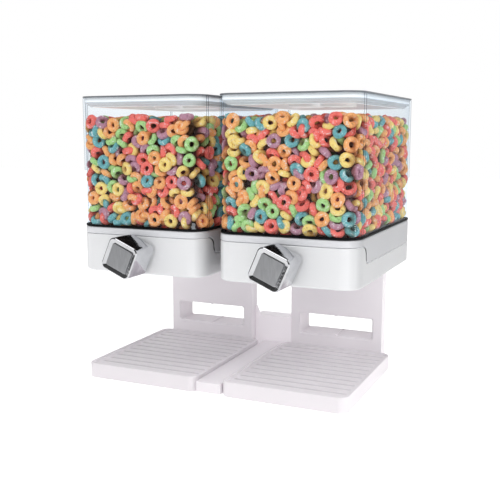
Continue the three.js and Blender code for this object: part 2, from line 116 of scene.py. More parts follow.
# Cereal.
RING = 4.95  # from the middle of a ring to the middle of its dough
DOUGH = 2.8
CEREAL_TOP = 289
CEREAL_SHELL = 24  # thickness of the layer of rings that is modelled along the walls and the top
CEREAL_SPACING = 10.45  # between the rings before they settle
CEREAL_ROUNDS = 60
RING_BALLS = 8  # balls that stand for a ring while it settles
WALL_PUSH = 1.5  # how hard walls and ground push a ball back, where 1 is for another ring
SOFT_PUSH = 0.5  # the same for the top of the fill and its empty middle
SETTLING = 1.6  # share of the pushes that a ring follows in a round
DRIFT = 0.09  # how far each ring creeps towards its wall in a round
CORE_DEPTH = 0.6 * CEREAL_SHELL
HOPPER_SLOPE = 0.45
CEREAL_PAINTED_GLOW = 0.14  # painted light: glow in place of light that comes through the dough
FILL_PAINTED_SHADE = (2.5, 11.5)  # depths in the fill between which the painted shade gets dark
HEAP = 2.5  # half the height of the waves in the top of the fill
RING_STEPS = 16  # samples round a ring
DOUGH_STEPS = 8  # samples round its dough


# ---- Shapes: (points, faces) in millimetres ----


def extent(node):
    """Lowest and highest corner of a CAD node."""
    low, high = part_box(node)
    return low / MM, high / MM


def outline(width, depth, corner, steps=8, side_ys=()):
    """Anticlockwise samples (x, y, nx, ny) of a rounded rectangle, with more at side_ys on its sides."""
    samples = []
    for quarter in range(4):
        right = quarter in (0, 3)
        cx = (1 if right else -1) * (width / 2 - corner)
        cy = (1 if quarter < 2 else -1) * (depth / 2 - corner)
        for i in range(steps + 1):
            angle = (quarter + i / steps) * QUARTER
            nx, ny = math.cos(angle), math.sin(angle)
            samples.append((cx + corner * nx, cy + corner * ny, nx, ny))
        if quarter in (1, 3):
            sign = 1 if right else -1
            straight = [y for y in sorted(side_ys, reverse=not right) if abs(y) < depth / 2 - corner]
            samples += [(sign * width / 2, y, sign, 0) for y in straight]
    return samples


def sweep(samples, profile, closed=False):
    """Carries a profile of (inset, height) round an outline; an open profile has its two ends capped.
    The profile may also be a function that gives it for a sample's y."""
    rows = []
    for x, y, nx, ny in samples:
        line = profile(y) if callable(profile) else profile
        rows.append([(x - nx * inset, y - ny * inset, height) for inset, height in line])
    count, long = len(rows), len(rows[0])
    faces = []
    for i in range(count):
        a, b = i * long, (i + 1) % count * long
        for k in range(long if closed else long - 1):
            m = (k + 1) % long
            faces.append([a + k, b + k, b + m, a + m])
    if not closed:
        faces.append([i * long for i in range(count)])
        faces.append([i * long + long - 1 for i in range(count)])
    return [point for row in rows for point in row], faces


def turned(profile, steps=12, closed=False):
    """A solid of revolution about Z from (radius, height) points."""
    most = max(radius for radius, _ in profile)
    circle = outline(2 * most, 2 * most, most, steps)
    return sweep(circle, [(most - radius, height) for radius, height in profile], closed)


def rounded(points, radii, steps=4, closed=False):
    """A polygon with arcs for corners; radii is one number, or one for each point."""
    count = len(points)
    if not hasattr(radii, "__len__"):
        radii = [radii] * count
    result = []
    for i, radius in enumerate(radii):
        here = Vector(points[i])
        if radius <= 0 or (not closed and i in (0, count - 1)):
            result.append(tuple(here))
            continue
        back = (Vector(points[i - 1]) - here).normalized()
        on = (Vector(points[(i + 1) % count]) - here).normalized()
        half = back.angle(on) / 2
        centre = here + (back + on).normalized() * radius / math.sin(half)
        start = here + back * radius / math.tan(half) - centre
        end = here + on * radius / math.tan(half) - centre
        for k in range(steps + 1):
            result.append(tuple(centre + start.slerp(end, k / steps).normalized() * radius))
    return result


def moved(shape, x=0, y=0, z=0):
    points, faces = shape
    return [(p[0] + x, p[1] + y, p[2] + z) for p in points], faces


def together(shapes):
    """Several shapes as one list of points and one of faces."""
    points, faces = [], []
    for some_points, some_faces in shapes:
        start = len(points)
        points += some_points
        faces += [[start + i for i in face] for face in some_faces]
    return points, faces


# ---- Meshes in metres ----


def mesh_of(shape, placing=None):
    """A closed mesh that faces outwards."""
    points, faces = shape
    bm = bmesh.new()
    placing = placing or Matrix()
    verts = [bm.verts.new((placing @ Vector(point)) * MM) for point in points]
    for face in faces:
        bm.faces.new([verts[i] for i in face])
    bmesh.ops.remove_doubles(bm, verts=bm.verts, dist=1e-7)
    bmesh.ops.recalc_face_normals(bm, faces=bm.faces)
    mesh = bpy.data.meshes.new("mesh")
    bm.to_mesh(mesh)
    bm.free()
    return mesh


def linked(name, mesh):
    obj = bpy.data.objects.new(name, mesh)
    bpy.context.scene.collection.objects.link(obj)
    return obj


def carved(mesh, shape, placing=None, operation="DIFFERENCE"):
    """The mesh with a shape cut out of it or joined to it."""
    body = linked("carved", mesh)
    tool = linked("tool", mesh_of(shape, placing))
    modifier = body.modifiers.new("carve", "BOOLEAN")
    modifier.operation = operation
    modifier.solver = "EXACT"
    modifier.object = tool
    result = bpy.data.meshes.new_from_object(body.evaluated_get(bpy.context.evaluated_depsgraph_get()))
    bpy.data.objects.remove(body)
    bpy.data.objects.remove(tool)
    return result


def softened(mesh, width, sharpest=40, segments=3):
    """The mesh with every edge sharper than so many degrees rounded."""
    bm = bmesh.new()
    bm.from_mesh(mesh)
    bmesh.ops.remove_doubles(bm, verts=bm.verts, dist=1e-6)
    bmesh.ops.dissolve_limit(bm, angle_limit=math.radians(0.3), verts=bm.verts, edges=bm.edges)
    limit = math.radians(sharpest)
    edges = [edge for edge in bm.edges if edge.is_convex and edge.calc_face_angle(0) > limit]
    settings = {"segments": segments, "profile": 0.5, "affect": "EDGES", "clamp_overlap": False}
    bmesh.ops.bevel(bm, geom=edges, offset=width * MM, **settings)
    result = bpy.data.meshes.new("soft")
    bm.to_mesh(result)
    bm.free()
    return result


def body_of_node(node):
    """The CAD body that a node belongs to."""
    bodies = frame["record"]["behaviour"]["bodies"]
    return next(body for body, nodes in bodies.items() if node in nodes)


def dress(mesh, material, node):
    """Shows a mesh in the place of a CAD node."""
    obj = linked(f"{node}_look", mesh)
    mesh.materials.clear()
    mesh.materials.append(material)
    mesh.shade_smooth()
    mesh.set_sharp_from_angle(angle=math.radians(42))
    normals = obj.modifiers.new("normals", "WEIGHTED_NORMAL")
    normals.keep_sharp = True
    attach(obj, body_of_node(node))
    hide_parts(node)
    return obj


def refine(node, material, slot, width=0.4):
    """A CAD node's own shape with soft edges."""
    return dress(softened(frame["nodes"][node].data, width), material, node)


# ---- Materials ----


def srgb(red, green, blue):
    """A display colour of 0 to 255 as a linear one."""
    channels = [value / 255 for value in (red, green, blue)]
    return [c / 12.92 if c < 0.04045 else ((c + 0.055) / 1.055) ** 2.4 for c in channels] + [1]


def grey(level):
    return (level, level, level, 1)


def new_material(name):
    material = bpy.data.materials.new(name)
    material.use_nodes = True
    material.node_tree.nodes.clear()
    return material, material.node_tree


def add(tree, kind, inputs=None, **settings):
    """A node with its settings, and its inputs given as values or as the sockets that feed them."""
    node = tree.nodes.new(kind)
    for key, value in settings.items():
        setattr(node, key, value)
    for key, value in (inputs or {}).items():
        if isinstance(value, bpy.types.NodeSocket):
            tree.links.new(value, node.inputs[key])
        else:
            node.inputs[key].default_value = value
    return node


def place(tree, stretch=(1, 1, 1)):
    """Where a point lies, in metres."""
    coordinates = add(tree, "ShaderNodeTexCoord").outputs["Object"]
    return add(tree, "ShaderNodeMapping", {"Vector": coordinates, "Scale": stretch}).outputs["Vector"]


def outward(tree):
    """Which way a point of the surface faces."""
    return add(tree, "ShaderNodeTexCoord").outputs["Normal"]


def along(tree, axis, vector):
    return add(tree, "ShaderNodeSeparateXYZ", {"Vector": vector}).outputs[axis]


def calculated(tree, operation, *values):
    return add(tree, "ShaderNodeMath", dict(enumerate(values)), operation=operation).outputs[0]


def rescaled(tree, value, start, end, low=0.0, high=1.0):
    """A number that goes from low to high while value goes from start to end."""
    limits = {"From Min": start, "From Max": end, "To Min": low, "To Max": high}
    return add(tree, "ShaderNodeMapRange", {"Value": value, **limits}).outputs["Result"]


def wander(tree, scale, low, high, detail=2.0, stretch=(1, 1, 1)):
    """A number that wanders from low to high over the surface, in patches of 1/scale metres."""
    pattern = {"Vector": place(tree, stretch), "Scale": scale, "Detail": detail}
    noise = add(tree, "ShaderNodeTexNoise", pattern).outputs["Fac"]
    return rescaled(tree, noise, 0.25, 0.75, low, high)


def ramp(tree, factor, *stops):
    """Colours along a factor; each stop is (position, colour)."""
    node = add(tree, "ShaderNodeValToRGB", {"Fac": factor})
    elements = node.color_ramp.elements
    while len(elements) < len(stops):
        elements.new(0.5)
    for element, (position, colour) in zip(elements, stops):
        element.position = position
        element.color = colour
    return node.outputs["Color"]


def blended(tree, share, colour, other, how="MIX"):
    """A colour with a share of another one blended in."""
    mixed = {0: share, 6: colour, 7: other}
    return add(tree, "ShaderNodeMix", mixed, data_type="RGBA", blend_type=how).outputs[2]


def darkened(tree, colour, factor):
    return blended(tree, 1.0, colour, factor, "MULTIPLY")


def bumped(tree, height, strength, distance_mm):
    inputs = {"Height": height, "Strength": strength, "Distance": distance_mm * MM}
    return add(tree, "ShaderNodeBump", inputs).outputs["Normal"]


def surface(tree, shader):
    output = add(tree, "ShaderNodeOutputMaterial")
    tree.links.new(shader, output.inputs["Surface"])


def principled(tree, **inputs):
    """Ends a material in one principled shader; an underscore stands for each space in an input's name."""
    named = {key.replace("_", " "): value for key, value in inputs.items()}
    surface(tree, add(tree, "ShaderNodeBsdfPrincipled", named).outputs["BSDF"])


def painted_side_shade(tree, dark):
    """A factor of painted shade: dark on the faces that look left or right."""
    aside = calculated(tree, "ABSOLUTE", along(tree, "X", outward(tree)))
    return ramp(tree, aside, (0.5, grey(1)), (0.95, dark))


def painted_groove_shade(tree, dark):
    """A factor of painted shade: dark on the faces that look up from below the tray's floor."""
    floor_z = extent("tray_left")[1].z - TRAY_DISH
    looks_up = rescaled(tree, along(tree, "Z", outward(tree)), 0.1, 0.4)
    limits = [(floor_z - below) * MM for below in GROOVE_DARK]
    below = rescaled(tree, along(tree, "Z", place(tree)), *limits)
    both = calculated(tree, "MULTIPLY", looks_up, below)
    return ramp(tree, both, (0.0, grey(1)), (1.0, dark))


def painted_joint_shadow(tree, dark):
    """A factor of painted shadow: dark on the faces that look forward from inside the step's open joint."""
    front = extent("housing_left")[0].y
    looks_forward = rescaled(tree, along(tree, "Y", outward(tree)), -0.4, -0.8)
    limits = [(front + behind) * MM for behind in JOINT_DARK]
    inside = rescaled(tree, along(tree, "Y", place(tree)), *limits)
    both = calculated(tree, "MULTIPLY", looks_forward, inside)
    return ramp(tree, both, (0.0, grey(1)), (1.0, dark))


def plastic(name, dark, pale, rough, grain=0.05, shine=0.5, glow=0.0, sides=1.0, joint=1.0, sunk=1.0):
    """Moulded plastic with faint cloudiness, uneven gloss and a fine skin.

    The glow is painted light, in place of light that gets through it from behind. The last three say how
    pale the painted shade leaves it on its left and right, inside the step's joint and in the tray's
    grooves.
    """
    material, tree = new_material(name)
    colour = ramp(tree, wander(tree, 12, 0, 1, detail=1), (0.0, dark), (1.0, pale))
    # painted shade: darker on the left and right faces, inside the step's joint and in the tray's grooves
    for level, shade in ((sides, painted_side_shade), (joint, painted_joint_shadow), (sunk, painted_groove_shade)):
        if level < 1:
            colour = darkened(tree, colour, shade(tree, grey(level)))
    principled(
        tree,
        Base_Color=colour,
        Roughness=wander(tree, 25, rough * 0.98, rough * 1.03, detail=1),
        Specular_IOR_Level=shine,
        # painted light: a glow in place of light that gets through from behind
        Emission_Color=colour,
        Emission_Strength=glow,
        Normal=bumped(tree, wander(tree, 1 / (1.2 * MM), 0, 1, detail=1), grain, 0.05),
    )
    return material


def lid_plastic():
    """White plastic with a grey line at its outer edge, painted light that makes its faces that look up
    lighter, and a painted glow in its deep part in place of light through the thin skin.
    """
    material, tree = new_material("lid_plastic")
    top = extent("lid_left")[1].z
    height = along(tree, "Z", place(tree))
    up = along(tree, "Z", add(tree, "ShaderNodeNewGeometry").outputs["True Normal"])
    edge = rescaled(tree, height, (top - LID_FLANGE - 0.2) * MM, (top - LID_FLANGE) * MM)
    line = calculated(tree, "MULTIPLY", edge, rescaled(tree, up, 0.5, 0.9, 1, 0))
    cloud = ramp(tree, wander(tree, 12, 0, 1, detail=1), (0, srgb(238, 239, 241)), (1, srgb(244, 245, 247)))
    # painted light: the faces that look up are lighter
    painted_light_top = blended(tree, rescaled(tree, up, 0.9, 0.98), cloud, srgb(247, 248, 250))
    # painted light: the deep part's skin glows, in place of light that comes through it
    through = rescaled(tree, up, -0.5, -0.9, *LID_PAINTED_GLOW)
    deep = rescaled(tree, height, *((top - below) * MM for below in LID_LIT))
    lit = calculated(tree, "MULTIPLY", through, deep)
    principled(
        tree,
        Base_Color=blended(tree, line, painted_light_top, srgb(118, 122, 128)),
        Roughness=wander(tree, 25, 0.28, 0.32, detail=1),
        Emission_Color=(0.93, 0.97, 1, 1),
        Emission_Strength=calculated(tree, "MULTIPLY", lit, rescaled(tree, up, 0.3, 0.6, 1, 0)),
        Normal=bumped(tree, wander(tree, 800, 0, 1, detail=1), 0.05, 0.05),
    )
    return material


def chrome():
    """Plated plastic: a mirror with a faint waviness and finger-dulled patches."""
    material, tree = new_material("knob_chrome")
    principled(
        tree,
        Base_Color=ramp(tree, wander(tree, 60, 0, 1), (0, srgb(205, 206, 209)), (1, srgb(226, 227, 230))),
        Metallic=1.0,
        Roughness=wander(tree, 150, 0.06, 0.16),
        Normal=bumped(tree, wander(tree, 120, 0, 1), 0.3, 0.3),
    )
    return material


def brushed(name, dark, pale, rough, stretch, depth=0.2):
    """Metal with straight brush marks across the stretched axis."""
    material, tree = new_material(name)
    marks = wander(tree, 900, 0, 1, detail=3, stretch=stretch)
    principled(
        tree,
        Base_Color=ramp(tree, marks, (0, dark), (1, pale)),
        Metallic=1.0,
        Roughness=wander(tree, 500, rough * 0.85, rough * 1.2, stretch=stretch),
        Normal=bumped(tree, marks, depth, 0.05),
    )
    return material


def clear_plastic():
    """Clear walls: darker where seen edge on, with painted shade in a band where they curve, and glossier at
    a glancing angle.
    """
    material, tree = new_material("clear_plastic")
    skin = bumped(tree, wander(tree, 30, 0, 1), 0.1, 0.5)
    glancing = add(tree, "ShaderNodeLayerWeight", {"Blend": 0.5, "Normal": skin}).outputs["Facing"]
    tint = ramp(
        tree,
        glancing,
        (0.0, srgb(254, 255, 255)),
        (0.6, srgb(251, 253, 255)),
        (0.85, srgb(243, 247, 250)),
        (0.93, srgb(214, 220, 226)),
        (0.98, srgb(150, 156, 164)),
        (1.0, srgb(60, 64, 70)),
    )
    # painted shade: a dark band where the wall curves round a corner, in place of the dark line that
    # refraction makes there
    turn = calculated(tree, "ABSOLUTE", along(tree, "Y", outward(tree)))
    painted_corner_shade = ramp(tree, turn, (0.01, grey(1)), (0.06, (0.4, 0.43, 0.46, 1)), (0.13, grey(1)))
    through = add(tree, "ShaderNodeBsdfTransparent", {"Color": darkened(tree, tint, painted_corner_shade)}).outputs[0]
    polish = {"Roughness": wander(tree, 60, 0.03, 0.08), "Normal": skin}
    gloss = add(tree, "ShaderNodeBsdfGlossy", polish).outputs[0]
    share = rescaled(tree, calculated(tree, "POWER", glancing, 4.0), 0, 1, 0.012, 0.16)
    surface(tree, add(tree, "ShaderNodeMixShader", {0: share, 1: through, 2: gloss}).outputs["Shader"])
    return material


def depth_in_fill(tree):
    """How deep a point of the cereal lies below the nearest wall or the top of the fill, in metres."""
    low, high = extent("canister_right")
    middle, half = (low + high) / 2, (high - low) / 2
    spot = place(tree)
    x, y, z = (along(tree, axis, spot) for axis in "XYZ")
    depth = calculated(tree, "SUBTRACT", CEREAL_TOP * MM, z)
    across = calculated(tree, "ABSOLUTE", x)
    for position, centre, reach in ((across, middle.x, half.x), (y, middle.y, half.y)):
        away = calculated(tree, "ABSOLUTE", calculated(tree, "SUBTRACT", position, centre * MM))
        inside = calculated(tree, "SUBTRACT", (reach - CAN_WALL) * MM, away)
        depth = calculated(tree, "MINIMUM", depth, inside)
    return depth


def cereal_dough(name, colour):
    """Sugared dough: uneven colour, pale specks and a crumbly skin, with painted shade that darkens it the
    deeper it lies and a faint painted glow.
    """
    material, tree = new_material(f"cereal_{name}")
    deep = [0.5 * c for c in colour[:3]] + [1]
    pale = [0.4 * c + 0.58 for c in colour[:3]] + [1]
    blotches = wander(tree, 220, 0, 1, detail=4)
    specks = wander(tree, 700, 0, 1, detail=3)
    mixed = calculated(tree, "MULTIPLY", blotches, specks)
    skin = ramp(tree, mixed, (0.0, deep), (0.14, colour), (0.34, colour), (0.55, pale))
    # painted shade: the dough darkens the deeper it lies in the fill
    depth = rescaled(tree, depth_in_fill(tree), *(limit * MM for limit in FILL_PAINTED_SHADE))
    shade = ramp(tree, depth, (0.0, grey(1)), (0.35, (0.55, 0.4, 0.34, 1)), (0.8, (0.06, 0.03, 0.02, 1)))
    shaded = darkened(tree, skin, shade)
    principled(
        tree,
        Base_Color=shaded,
        # painted light: a faint glow in place of light that comes through the dough
        Emission_Color=shaded,
        Emission_Strength=CEREAL_PAINTED_GLOW,
        Roughness=wander(tree, 300, 0.55, 0.85),
        Normal=bumped(tree, wander(tree, 650, 0, 1, detail=4), 0.9, 0.8),
    )
    return material


WHITE = plastic("white_plastic", srgb(240, 241, 243), srgb(246, 247, 249), 0.28)
# painted shade on the collar's left and right faces, and painted shadow inside the step's joint
COLLAR = plastic("collar_plastic", srgb(229, 230, 234), srgb(237, 238, 242), 0.3, sides=0.67, joint=0.06)
# painted shade on the housing's left and right faces
HOUSING = plastic("housing_plastic", srgb(240, 241, 243), srgb(244, 245, 247), 0.28, sides=0.72)
# painted light: a faint glow on the stand
STAND = plastic("stand_plastic", srgb(240, 235, 239), srgb(245, 240, 244), 0.32, glow=0.06)
# painted light: the block between the columns glows as if lit from behind
BRIDGE_PAINTED_GLOW = plastic("bridge_plastic_painted_glow", srgb(240, 235, 239), srgb(245, 240, 244), 0.32, glow=0.22)
# painted shade in the tray's grooves
TRAY = plastic("tray_plastic", srgb(240, 235, 239), srgb(245, 240, 244), 0.32, sunk=GROOVE_PAINTED_SHADE)
LID = lid_plastic()
# painted light: the soft ring glows, in place of light that gets through it
SILICONE = plastic("grey_silicone", srgb(186, 189, 192), srgb(200, 203, 206), 0.55, grain=0.12, glow=0.3)
RUBBER = plastic("black_rubber", srgb(7, 8, 11), srgb(17, 18, 22), 0.55, grain=0.2, shine=0.15)
BUSH = plastic("grey_plastic", srgb(168, 171, 176), srgb(190, 193, 198), 0.45)
CHROME = chrome()
PLATE = brushed("knob_plate", srgb(160, 161, 164), srgb(176, 177, 180), 0.34, (1, 1, 0.15), depth=0.08)
STEEL = brushed("steel", srgb(150, 152, 156), srgb(198, 200, 204), 0.3, (1, 0.1, 1))
CLEAR = clear_plastic()


# ---- Canister unit ----


def plan_of(side, steps=10, side_ys=()):
    """The outline that canister, collar and housing share."""
    low, high = extent(f"canister_{side}")
    return outline(high.x - low.x, high.y - low.y, CORNER, steps, side_ys)


def unit_place(side):
    """From the middle of one unit to the row frame."""
    low, high = extent(f"canister_{side}")
    return Matrix.Translation(((low.x + high.x) / 2, (low.y + high.y) / 2, 0))


def upright_ring(node, side, thick, soft, material):
    """A ring on the shared outline, as high as its CAD node, with soft edges."""
    low, high = extent(f"{node}_{side}")
    wall = [(0, low.z), (0, high.z), (thick, high.z), (thick, low.z)]
    shape = sweep(plan_of(side), rounded(wall, soft, closed=True), closed=True)
    dress(mesh_of(shape, unit_place(side)), material, f"{node}_{side}")


def canister(side):
    upright_ring("canister", side, CAN_WALL, 0.6, CLEAR)


def canister_seal(side):
    upright_ring("canister_seal", side, LEDGE, 0.5, RUBBER)


def lid(side):
    """Flush lid with two finger wells, each with a rounded lip and floor."""
    low, high = extent(f"lid_{side}")
    plug = CAN_WALL + GAP
    profile = [
        (6, high.z),
        (0, high.z),
        (0, high.z - LID_FLANGE),
        (plug, high.z - LID_FLANGE),
        (plug, high.z - LID_SHOULDER),
        (plug + LID_INSET, high.z - LID_SHOULDER),
        (plug + LID_INSET, low.z),
        (plug + LID_INSET + LID_WALL, low.z),
        (plug + LID_INSET + LID_WALL, high.z - LID_SKIN),
    ]
    edges = [0, 0.7, 0.5, 0, 0.5, 0, 0.8, 0.8, 0]
    placing = unit_place(side)
    mesh = mesh_of(sweep(plan_of(side), rounded(profile, edges)), placing)
    width, depth, corner = WELL
    cup = outline(width + 2 * WELL_SKIN, depth + 2 * WELL_SKIN, corner + WELL_SKIN, 6)
    cups = [moved(sweep(cup, [(0, low.z + 0.4), (0, high.z - WELL_SKIN)]), s * WELL_X) for s in (-1, 1)]
    mesh = carved(mesh, together(cups), placing, "UNION")
    floor = high.z - WELL_DEEP
    angles = np.linspace(0, QUARTER, 5)
    lip = [(WELL_LIP * (math.cos(a) - 1), high.z + 0.02 - WELL_LIP * (1 - math.sin(a))) for a in angles]
    wall = rounded([(corner - 0.5, floor), (0, floor), lip[0]], [0, 3, 0])
    well = sweep(outline(width, depth, corner, 6), wall[:-1] + lip + [(lip[-1][0], high.z + 2)])
    wells = [moved(well, s * WELL_X) for s in (-1, 1)]
    dress(carved(mesh, together(wells), placing), LID, f"lid_{side}")


def lid_gasket(side):
    """Soft ring with two lips, tapering inwards as it goes down."""
    low, high = extent(f"lid_gasket_{side}")
    fit = CAN_WALL + GAP + 0.1
    tall = high.z - low.z
    profile = [
        (fit, high.z),
        (fit, high.z - 0.22 * tall),
        (fit + 2.2, high.z - 0.4 * tall),
        (fit + 2.4, high.z - 0.6 * tall),
        (fit + 4.4, high.z - 0.78 * tall),
        (fit + 5.4, low.z),
        (fit + 7.6, low.z),
        (fit + 7.6, high.z),
    ]
    soft = rounded(profile, [0.2, 0.3, 0.5, 0.4, 0.5, 0.3, 0.2, 0.2], closed=True)
    shape = sweep(plan_of(side), soft, closed=True)
    dress(mesh_of(shape, unit_place(side)), SILICONE, f"lid_gasket_{side}")


def step_curve(side):
    """Points (y, z) of the collar's lower edge along a side, from front to back: two quarter circles."""
    low, _ = extent(f"collar_{side}")
    _, housing_high = extent(f"housing_{side}")
    can_low, can_high = extent(f"canister_{side}")
    top = housing_high.z + GAP
    radius = (top - low.z) / 2
    middle = -(can_high.y - can_low.y) / 2 + STEP_FROM_FRONT
    angles = np.linspace(0, QUARTER, 8)
    upper = [(middle - radius + radius * math.sin(a), top - radius + radius * math.cos(a)) for a in angles]
    lower = [(middle + radius - radius * math.cos(a), low.z + radius - radius * math.sin(a)) for a in angles]
    return upper + lower[1:]


def edge_height(curve, y):
    """Height of the step's curve at a place along the side."""
    ys, zs = zip(*curve)
    return float(np.interp(y, ys, zs))


def collar(side):
    """Ring round the canister's foot, with a ledge on top and a step in its lower edge."""
    _, high = extent(f"collar_{side}")
    curve = step_curve(side)

    def profile(y):
        low = edge_height(curve, y)
        ring = [
            (0, low),
            (0, high.z),
            (LEDGE, high.z),
            (LEDGE, high.z - LEDGE_THICK),
            (HOUSING_WALL, high.z - LEDGE_THICK),
            (HOUSING_WALL, low),
        ]
        return rounded(ring, [1.1, 1.9, 0.3, 0, 0, 0], closed=True)

    samples = plan_of(side, side_ys=[y for y, _ in curve])
    mesh = mesh_of(sweep(samples, profile, closed=True), unit_place(side))
    dress(mesh, COLLAR, f"collar_{side}")


def housing(side):
    """Pan under the collar with a rounded bottom edge and a hole for the drum casing."""
    low, _ = extent(f"housing_{side}")
    curve = [(y - STEP_GAP, z - GAP) for y, z in step_curve(side)]

    def profile(y):
        high = edge_height(curve, y)
        pan = [
            (HOUSING_WALL, low.z + HOUSING_FLOOR),
            (HOUSING_WALL, high),
            (0, high),
            (0, low.z),
            (PAN_CAP, low.z),
        ]
        return rounded(pan, [0, 0.3, 1.2, 3, 0])

    samples = plan_of(side, side_ys=[y for y, _ in curve])
    placing = unit_place(side)
    mesh = mesh_of(sweep(samples, profile), placing)
    bottom, top = low.z - 1, low.z + HOUSING_FLOOR + 1
    hole = sweep(outline(*SPOUT_HOLE), [(0, bottom), (0, top)])
    screw_hole = turned([(SCREW_HOLE_R, bottom), (SCREW_HOLE_R, top)], 6)
    screw_holes = [moved(screw_hole, s * SCREW_X, SCREW_Y) for s in (-1, 1)]
    mesh = carved(mesh, together([hole, *screw_holes]), placing)
    bush_low, bush_high = extent(f"front_bush_{side}")
    axis = (placing.translation.x, low.y, (bush_low.z + bush_high.z) / 2)
    bore = turned([(BUSH_BORE_R, -5), (BUSH_BORE_R, 5)])
    facing_front = Matrix.Translation(axis) @ Matrix.Rotation(QUARTER, 4, "X")
    dress(carved(mesh, bore, facing_front), HOUSING, f"housing_{side}")


# ---- Knob ----


def knob_place(side):
    """From the knob's own frame, with Z to the front and the shaft at its middle, to the row frame."""
    low, high = extent(f"front_bush_{side}")
    centre = Matrix.Translation(((low.x + high.x) / 2, 0, (low.z + high.z) / 2))
    return centre @ Matrix.Rotation(QUARTER, 4, "X")


def knob(side):
    """Square cup with a broad sloping bezel, a boss for the shaft and a brushed inlay."""
    low, high = extent(f"knob_{side}")
    front, back = -low.y, -high.y
    turn = math.radians(KNOB_TURN)
    lean = math.cos(turn) + math.sin(turn)
    size = (high.x - low.x + 2 * KNOB_CORNER * (lean - 1)) / lean
    placing = knob_place(side) @ Matrix.Rotation(-turn, 4, "Z")
    profile = [
        (KNOB_BEZEL + 0.5, front - KNOB_FRONT),
        (KNOB_WALL, front - KNOB_FRONT),
        (KNOB_WALL, back),
        (0, back),
        (0, front - BEZEL_DROP),
        (1.1, front),
        (KNOB_BEZEL, front - INLAY_DEEP),
        (KNOB_BEZEL + 0.5, front - INLAY_DEEP),
    ]
    cup = sweep(outline(size, size, KNOB_CORNER, 8), rounded(profile, [0, 0, 0, 0.3, 0.5, 0.35, 0, 0]))
    boss = turned([(KNOB_BOSS_R, front - 3), (KNOB_BOSS_R, back + 1)], 8)
    bore = turned([(SHAFT_BORE_R, front - KNOB_FRONT - 0.6), (SHAFT_BORE_R, back - 1)], 6)
    mesh = carved(mesh_of(cup, placing), boss, placing, "UNION")
    dress(carved(mesh, bore, placing), CHROME, f"knob_{side}")
    inlay_low, inlay_high = extent(f"knob_face_{side}")
    inlay = size - 2 * (KNOB_BEZEL + GAP)
    plate = [(1.8, -inlay_high.y), (0, -inlay_high.y), (0, -inlay_low.y), (1.8, -inlay_low.y)]
    shape = sweep(outline(inlay, inlay, INLAY_CORNER, 6), rounded(plate, [0, 0.2, 0.3, 0]))
    dress(mesh_of(shape, placing), PLATE, f"knob_face_{side}")


# ---- Tray ----


def tray(side):
    """Dished tray whose floor has grooves with round ends."""
    low, high = extent(f"tray_{side}")
    width, depth = high.x - low.x, high.y - low.y
    placing = Matrix.Translation(((low.x + high.x) / 2, (low.y + high.y) / 2, 0))
    floor = high.z - TRAY_DISH
    profile = [
        (PAN_CAP, floor),
        (TRAY_RIM, floor),
        (TRAY_RIM, high.z),
        (0, high.z),
        (0, low.z),
        (TRAY_WALL, low.z),
        (TRAY_WALL, floor - TRAY_FLOOR),
        (PAN_CAP, floor - TRAY_FLOOR),
    ]
    soft = rounded(profile, [0, 1.0, 0.8, 1.1, 0.5, 0.3, 0, 0])
    mesh = mesh_of(sweep(outline(width, depth, TRAY_CORNER, 10), soft), placing)
    reach = width / 2 - GROOVE_END
    sunk = GROOVE_R - GROOVE_DEEP
    angles = np.linspace(0.1, QUARTER, 4)
    near = [(GROOVE_R * math.sin(a), -reach + GROOVE_R * (1 - math.cos(a))) for a in angles]
    far = [(radius, -height) for radius, height in reversed(near)]
    points, faces = turned(near + far, 6)
    sideways = Matrix.Rotation(QUARTER, 4, "Y")
    points = [tuple(sideways @ Vector(point)) for point in points]
    grooves = []
    for i in range(GROOVES):
        y = -depth / 2 + GROOVE_FIRST + i * GROOVE_PITCH
        grooves.append(moved((points, faces), 0, y, floor + sunk))
    mesh = carved(mesh, together(grooves), placing)
    dress(mesh, TRAY, f"tray_{side}")


# ---- Column ----


def column(side):
    """Column with a sunk edge round its slot."""
    low, high = extent(f"column_{side}")
    width, bottom, top = SLOT
    mesh = softened(frame["nodes"][f"column_{side}"].data, 0.5)
    wide, deep = REBATE
    edge = [(0, -deep), (0, 1), (wide + 1, 1), (wide + 1, -deep)]
    ring = outline(width + 2 * wide, top - bottom + 2 * wide, 2.5 + wide, 6)
    shape = sweep(ring, rounded(edge, [0.4, 0, 0, 0], closed=True), closed=True)
    middle = ((low.x + high.x) / 2, low.y, (bottom + top) / 2)
    placing = Matrix.Translation(middle) @ Matrix.Rotation(QUARTER, 4, "X")
    dress(carved(mesh, shape, placing), STAND, f"column_{side}")


# ---- Cereal ----


def close_pairs(points, owner, reach):
    """Pairs of points nearer than reach whose owners differ."""
    cell = np.floor(points / reach).astype(np.int64)
    cell -= cell.min(0) - 1
    size = cell.max(0) + 2
    key = (cell[:, 0] * size[1] + cell[:, 1]) * size[2] + cell[:, 2]
    order = np.argsort(key, kind="stable")
    sorted_key = key[order]
    firsts, seconds = [], []
    for dx in (-1, 0, 1):
        for dy in (-1, 0, 1):
            nearby = key + (dx * size[1] + dy) * size[2]
            start = np.searchsorted(sorted_key, nearby - 1)
            end = np.searchsorted(sorted_key, nearby + 1, side="right")
            for k in range(int((end - start).max())):
                a = np.nonzero(start + k < end)[0]
                b = order[start[a] + k]
                near = (owner[a] < owner[b]) & (((points[a] - points[b]) ** 2).sum(1) < reach * reach)
                firsts.append(a[near])
                seconds.append(b[near])
    return np.concatenate(firsts), np.concatenate(seconds)


def turns_about(vectors):
    """A rotation matrix for each rotation vector."""
    angle = np.linalg.norm(vectors, axis=1)[:, None, None] + 1e-12
    x, y, z = (vectors / angle[:, :, 0]).T
    o = np.zeros_like(x)
    k = np.stack([o, -z, y, z, o, -x, -y, x, o], 1).reshape(-1, 3, 3)
    return np.eye(3) + np.sin(angle) * k + (1 - np.cos(angle)) * (k @ k)


